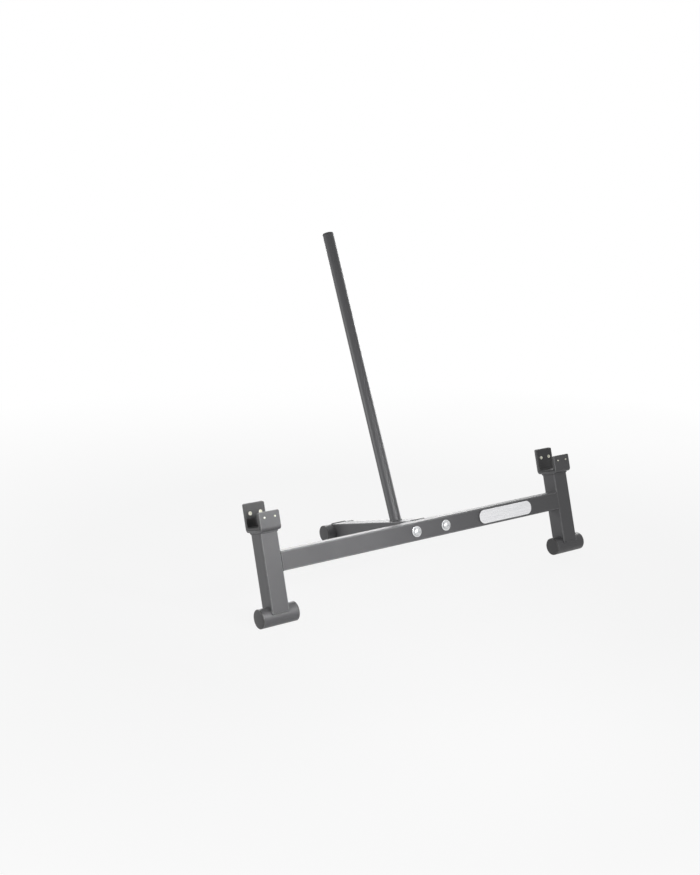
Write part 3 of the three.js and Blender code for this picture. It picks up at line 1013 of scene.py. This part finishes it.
def boltGrid(v, grip, sides=96, domeSteps=9):
    # socket floor, hexagonal wall and half an ellipse for the head, then the shank, whose thread is a zigzag
    # of the height over the pitch less the share of a turn
    domeHeight = v["headHeight"] - v["headRim"]
    hexEdge = hexRadius(v["socketFlats"], sides)
    mouth = v["socketMouthShare"] * hexEdge
    onDome = -v["headRim"] - domeHeight * np.sqrt(1 - (mouth / v["headRadius"]) ** 2)
    floor = -v["headHeight"] + v["socketDepth"]
    profile = [(0, floor), (v["socketFloorShare"] * hexEdge, floor)]
    profile += [(hexEdge, onDome + v["socketLip"]), (mouth, onDome)]
    for angle in np.linspace(math.asin(v["domeStartShare"]), math.pi / 2, domeSteps + 1):
        profile.append((v["headRadius"] * math.sin(angle), -v["headRim"] - domeHeight * math.cos(angle)))
    profile += [(v["headRadius"], -v["edge"]), (v["headRadius"] - v["edge"], 0), (v["radius"], 0)]
    threadStart, length = grip - v["threadHidden"], grip + v["end"]
    profile.append((v["radius"], threadStart))
    turn = np.linspace(0, 1, sides, endpoint=False)
    step = v["threadStep"]
    for height in np.arange(threadStart + step, length - v["threadShort"], step):
        phase = (height / v["threadPitch"] - turn) % 1.0
        fade = min(1.0, (height - threadStart) / v["threadFade"])
        profile.append((v["radius"] - fade * v["threadDepth"] * np.abs(2 * phase - 1), height))
    core = v["radius"] - v["threadDepth"]
    profile += [(core, length - v["endEdge"]), (core - v["endEdge"], length), (0, length)]
    return turned(profile, sides)


def ringGrid(outer, inner, thickness, edge=0.3, sides=64):
    # a rectangle with softened corners, turned round the axis
    bend = edge * (1 - math.cos(math.pi / 4))
    profile = [
        (inner, edge), (inner + bend, bend), (inner + edge, 0),
        (outer - edge, 0), (outer - bend, bend), (outer, edge),
        (outer, thickness - edge), (outer - bend, thickness - bend), (outer - edge, thickness),
        (inner + edge, thickness), (inner + bend, thickness - bend), (inner, thickness - edge),
    ]
    return turned(profile, sides)


def nutGrid(v, sides=96):
    # a hexagon whose corners are chamfered at 30 degrees, a round collar on top, and a plain bore
    corner = hexRadius(v["nutFlats"], sides)
    flat = v["nutFlats"] / 2
    chamfer = (corner - flat) * math.tan(math.pi / 6) + v["edge"]
    bore = v["radius"] + v["clearance"]
    collar = bore + v["collarWall"]
    height = v["nutHeight"]
    top = height + v["collarHeight"]
    edge, nutEdge, collarEdge, bend = v["edge"], v["nutEdge"], v["collarEdge"], v["collarBend"]
    profile = [
        (bore, nutEdge / 2), (bore + edge, 0), (flat - nutEdge, 0), (corner, chamfer),
        (corner, height - chamfer), (flat - nutEdge, height), (collar + edge, height),
        (collar, height + nutEdge), (collar, top - collarEdge), (collar - bend, top - bend),
        (collar - collarEdge, top), (bore, top),
    ]
    return turned(profile, sides)


def addBolt(side, x, v):
    # from front to rear: head, washer, crossbar, bolting plate, washer and nut, each a gap from the next
    frontFace = -tubeHalf - gap - v["frontWasher"][1]
    headFace = frontFace - gap
    rearFace = plateBack + gap
    nutFace = rearFace + v["rearWasher"][1] + gap
    nutEnd = nutFace + v["nutHeight"] + v["collarHeight"]
    bore = v["radius"] + v["clearance"]
    frontRing = ringGrid(v["frontWasher"][0], bore, v["frontWasher"][1])
    rearRing = ringGrid(v["rearWasher"][0], bore, v["rearWasher"][1])
    stack = (
        ("FrameBolt", boltGrid(v, nutEnd - headFace), headFace, "frame_bolt", False),
        ("FrontWasher", frontRing, frontFace, "front_washer", True),
        ("RearWasher", rearRing, rearFace, "rear_washer", True),
        ("LockNut", nutGrid(v), nutFace, "lock_nut", True),
    )
    for name, grid, t, node, ring in stack:
        makePiece(
            side + name, rearwards(grid, x, t, crossbarHeight), brightSteel,
            [f"{side}_{node}"], closeRows=ring, sharpDegrees=fastenerSharp,
        )


addBolt("left", -bolt["spacing"] / 2, bolt)
addBolt("right", bolt["spacing"] / 2, bolt)
print("jack: bolts made")


# Lever
lever = {
    "radius": 16,
    "wall": 2.5,
    "length": 856,
    "setback": 111,  # its foot behind the crossbar's rear face
    "leanDegrees": 8.1,  # further back than the uprights
    "cutEdge": 0.4,
    "capHead": 4.5,
    "capDome": 0.6,
    "capEdge": 2,
    "capRim": 0.3,  # bevel beside the tube's end
    "plugLength": 20,
    "plugWall": 2,
}
leverLean = math.radians(lever["leanDegrees"])
leverFoot = (0, tubeHalf + lever["setback"], crossbarHeight + tubeHalf)


def leaning(grid):
    # t = b cos(lean) + c sin(lean) and s = c cos(lean) - b sin(lean), from the lever's foot on the arm
    a, b, c = grid[..., 0], grid[..., 1], grid[..., 2]
    t = leverFoot[1] + b * math.cos(leverLean) + c * math.sin(leverLean)
    s = leverFoot[2] + c * math.cos(leverLean) - b * math.sin(leverLean)
    return np.stack([leverFoot[0] + a, t, s], axis=-1)


def armTop(section):
    # the arm's top cuts the lever's foot at a slope: a point's height is its reach to the rear times the
    # tangent of the lean
    return gap / math.cos(leverLean) + section[:, 1] * math.tan(leverLean)


def addLever(v):
    seat = v["length"] - v["capHead"] - v["capDome"]
    makeTube("leverTube", leaning(roundTube(v, v["cutEdge"], armTop, level(seat - gap))), "lever_tube")
    plug = upwards(capGrid(v), 0, 0, seat)
    makePiece("leverPlug", leaning(plug), capPlastic, ["lever_plug"])


addLever(lever)
print("jack: lever made")


# Weld beads, coated with the frame
weld = {
    # a bead's radius, how far it lies outside the tube's outline and how far along the tube from the joint
    "foot": (2.2, 0.2, 0.2),
    "cradle": (3.0, 0.3, 1.6),
    "crossbar": (2.2, -0.9, -0.2),
    "rearFoot": (2.4, 0.4, 0.4),
    "flange": (1.8, 0.4, 1.0),
    "lever": (2.0, 0.4, 0.9),
    "rearFootUnderside": 2.0,  # the rear foot's bead is thinner where the arm nears the floor
    "saddleReach": 24.4,  # past this from its middle a tube's side no longer meets the foot at an angle
    "pitch": 2.6,  # from one ripple to the next
    "rippleShare": 0.2,  # of the radius
    "sides": 12,
    "rowsPerRipple": 5,
    "leastRows": 12,
    "sharpDegrees": 60,
    "wearAndHighlightRadius": 0.5,  # a bead's bend is reckoned with a small radius, so that a bead takes little painted highlight and little wear
}


def alongPath(path, spacing, leastRows):
    # spreads points evenly along a closed path by its running length
    closed = np.vstack([path, path[:1]])
    run = np.concatenate([[0], np.cumsum(np.linalg.norm(np.diff(closed, axis=0), axis=1))])
    at = np.linspace(0, run[-1], max(int(run[-1] / spacing), leastRows), endpoint=False)
    return np.column_stack([np.interp(at, run, closed[:, k]) for k in range(3)]), at


def beadGrid(path, v, radius):
    # a round section along the path; its radius swells and falls like overlapping coins, once each pitch,
    # by the size of the sine of half a turn per pitch
    points, at = alongPath(path, v["pitch"] / v["rowsPerRipple"], v["leastRows"])
    tangent = np.roll(points, -1, axis=0) - np.roll(points, 1, axis=0)
    tangent /= np.linalg.norm(tangent, axis=1)[:, None]
    outward = points - points.mean(axis=0)
    outward -= (outward * tangent).sum(axis=1)[:, None] * tangent
    outward /= np.linalg.norm(outward, axis=1)[:, None]
    sideways = np.cross(tangent, outward)
    ripple = np.abs(np.sin(math.pi * at / v["pitch"]))
    thick = radius(points) if callable(radius) else radius
    size = (thick * (1 - v["rippleShare"] + v["rippleShare"] * ripple))[:, None, None]
    angle = np.linspace(0, 2 * math.pi, v["sides"], endpoint=False)[None, :, None]
    section = np.cos(angle) * outward[:, None, :] + np.sin(angle) * sideways[:, None, :]
    return points[:, None, :] + size * section


def addBead(name, path, radius):
    # a bead stands for no node, and the radius is one value or a function of the path's points
    makePiece(
        name, beadGrid(path, weld, radius), powderCoat,
        closeRows=True, sharpDegrees=weld["sharpDegrees"], wearAndHighlightRadius=weld["wearAndHighlightRadius"],
    )


def atHeight(outline, height):
    return np.column_stack([outline, np.broadcast_to(height, len(outline))])


def onSaddle(out, away):
    # the rim of a square tube on a round foot, as high over the foot's axis as the root of the foot's radius
    # squared less t squared
    rim = tubeOutline(-out)
    t = np.clip(rim[:, 1], -weld["saddleReach"], weld["saddleReach"])
    return atHeight(rim, np.sqrt((foot["radius"] + gap) ** 2 - t ** 2) + away)


def addFrontWelds(side, sign, v):
    radius, out, away = v["foot"]
    addBead(f"{side}FootWeld", upwards(onSaddle(out, away), sign * uprightPlace), radius)
    radius, out, away = v["cradle"]
    rim = atHeight(tubeOutline(-out), jackFrame["uprightHeight"] - away)
    addBead(f"{side}CradleWeld", upwards(rim, sign * uprightPlace), radius)
    radius, out, away = v["crossbar"]
    rim = atHeight(tubeOutline(-out), uprightPlace - tubeHalf - away)
    addBead(f"{side}CrossbarWeld", alongCrossbar(rim, 0, 0, crossbarHeight, sign), radius)


def addRearWelds(v):
    full, out, away = v["rearFoot"]
    rim = onSaddle(out, away)
    rim[:, 2] = armReach - rim[:, 2]

    def thinning(points):
        # a straight line from the full radius at the arm's middle height to the thin one at its underside
        low = np.clip((crossbarHeight - points[:, 2]) / tubeHalf, 0, 1)
        return full + (v["rearFootUnderside"] - full) * low

    addBead("rearFootWeld", rearwards(rim, 0, 0, crossbarHeight), thinning)
    radius, out, away = v["flange"]
    rim = atHeight(tubeOutline(-out), armStart + away)
    addBead("flangeWeld", rearwards(rim, 0, 0, crossbarHeight), radius)
    radius, out, away = v["lever"]
    rim = roundOutline(lever["radius"] + out)
    addBead("leverWeld", leaning(atHeight(rim, armTop(rim) + away)), radius)


for side, sign in leftAndRight:
    addFrontWelds(side, sign, weld)
addRearWelds(weld)
print("jack: welds made")


# Floor, light and world
studio = {
    "floorColour": linear(165, 165, 165),  # what it gives back to the jack; the camera sees it nearly white
    "floorRoughness": 0.9,
    "floorSpecularLevel": 0.1,
    "floorRadius": 30.0,
    "floorSides": 96,
    "fadeStart": 0.9,  # metres from the jack where the floor starts to turn plain white
    "fadeEnd": 2.5,
    "leastWhite": 0.89,  # share of plain white that the floor shows near the jack
    "worldStrength": 0.03,  # light from all round; the camera and reflections see plain white
    "lamps": (
        # place, aim, width and height in metres, watts, spread in degrees
        ("keyLamp", (-0.42, -1.24, 0.6), (-0.45, -0.05, 0.15), (0.35, 0.35), 6.6, 180),
        ("glossLamp", (0.4, -1.8, 1.15), (-0.42, -0.2, 0.05), (0.25, 0.25), 0.95, 45),
        ("sideLamp", (-1.9, 0.85, 0.4), (-0.1, 0.4, 0.2), (0.6, 0.5), 11.0, 180),
        ("rightLamp", (2.2, 0.9, 0.6), (0.2, 0.1, 0.15), (0.8, 0.6), 6.0, 90),
        ("backLamp", (1.0, 2.3, 0.6), (0.0, 0.1, 0.15), (1.8, 0.6), 26.0, 180),
        ("topLamp", (0.0, 0.3, 2.6), (0.0, 0.0, 0.0), (2.0, 2.0), 3.0, 180),
    ),
}


def seenDirectly(tree):
    # 1 for what the camera, a reflection or a clear material looks at, 0 for the light on other surfaces
    path = addNode(tree, "ShaderNodeLightPath").outputs
    mirrored = mathOf(tree, "MAXIMUM", path["Is Glossy Ray"], path["Is Transmission Ray"])
    return mathOf(tree, "MAXIMUM", path["Is Camera Ray"], mirrored)


def addFloor(v):
    mesh = bpy.data.meshes.new("floor")
    ring = roundOutline(v["floorRadius"], sides=v["floorSides"])
    mesh.from_pydata([(x, y, 0.0) for x, y in ring.tolist()], [], [tuple(range(len(ring)))])
    floor = addObject("floor", mesh)
    values = {
        "Base Color": v["floorColour"],
        "Roughness": v["floorRoughness"],
        "Specular IOR Level": v["floorSpecularLevel"],
    }
    material, tree, shader, place = startMaterial("paleFloor", values)
    distance = addNode(tree, "ShaderNodeVectorMath", {0: place}, operation="LENGTH").outputs["Value"]
    white = mapped(tree, distance, v["leastWhite"], 1.0, v["fadeStart"], v["fadeEnd"])
    share = mathOf(tree, "MULTIPLY", white, seenDirectly(tree))
    glow = addNode(tree, "ShaderNodeEmission", {"Color": (1, 1, 1, 1), "Strength": 1.0})
    layers = {0: share, 1: shader.outputs["BSDF"], 2: glow.outputs["Emission"]}
    mix = addNode(tree, "ShaderNodeMixShader", layers)
    tree.links.new(mix.outputs["Shader"], tree.nodes["Material Output"].inputs["Surface"])
    mesh.materials.append(material)


def addWorld(v):
    world = bpy.data.worlds.new("studio")
    world.use_nodes = True
    scene.world = world
    tree = world.node_tree
    background = tree.nodes["Background"]
    background.inputs["Color"].default_value = (1, 1, 1, 1)
    tree.links.new(mapped(tree, seenDirectly(tree), v["worldStrength"], 1.0), background.inputs["Strength"])


nearlyUp = (0.02, 0.01, 1.0)  # never quite along a lamp's aim, so that the lamp has a right side


def addLamp(name, place, aim, size, power, spreadDegrees):
    data = bpy.data.lights.new(name, "AREA")
    data.shape = "RECTANGLE"
    data.size, data.size_y = size
    data.energy = power
    data.spread = math.radians(spreadDegrees)
    lamp = addObject(name, data)
    towards = np.array(aim) - np.array(place)
    towards /= np.linalg.norm(towards)
    right = np.cross(towards, nearlyUp)
    right /= np.linalg.norm(right)
    up = np.cross(right, towards)
    lamp.matrix_world = placeAndTurn(right, up, -towards, place)
    lamp.visible_camera = False


addFloor(studio)
addWorld(studio)
for lamp in studio["lamps"]:
    addLamp(*lamp)
scene.view_settings.view_transform = "Standard"
print("jack: studio set")
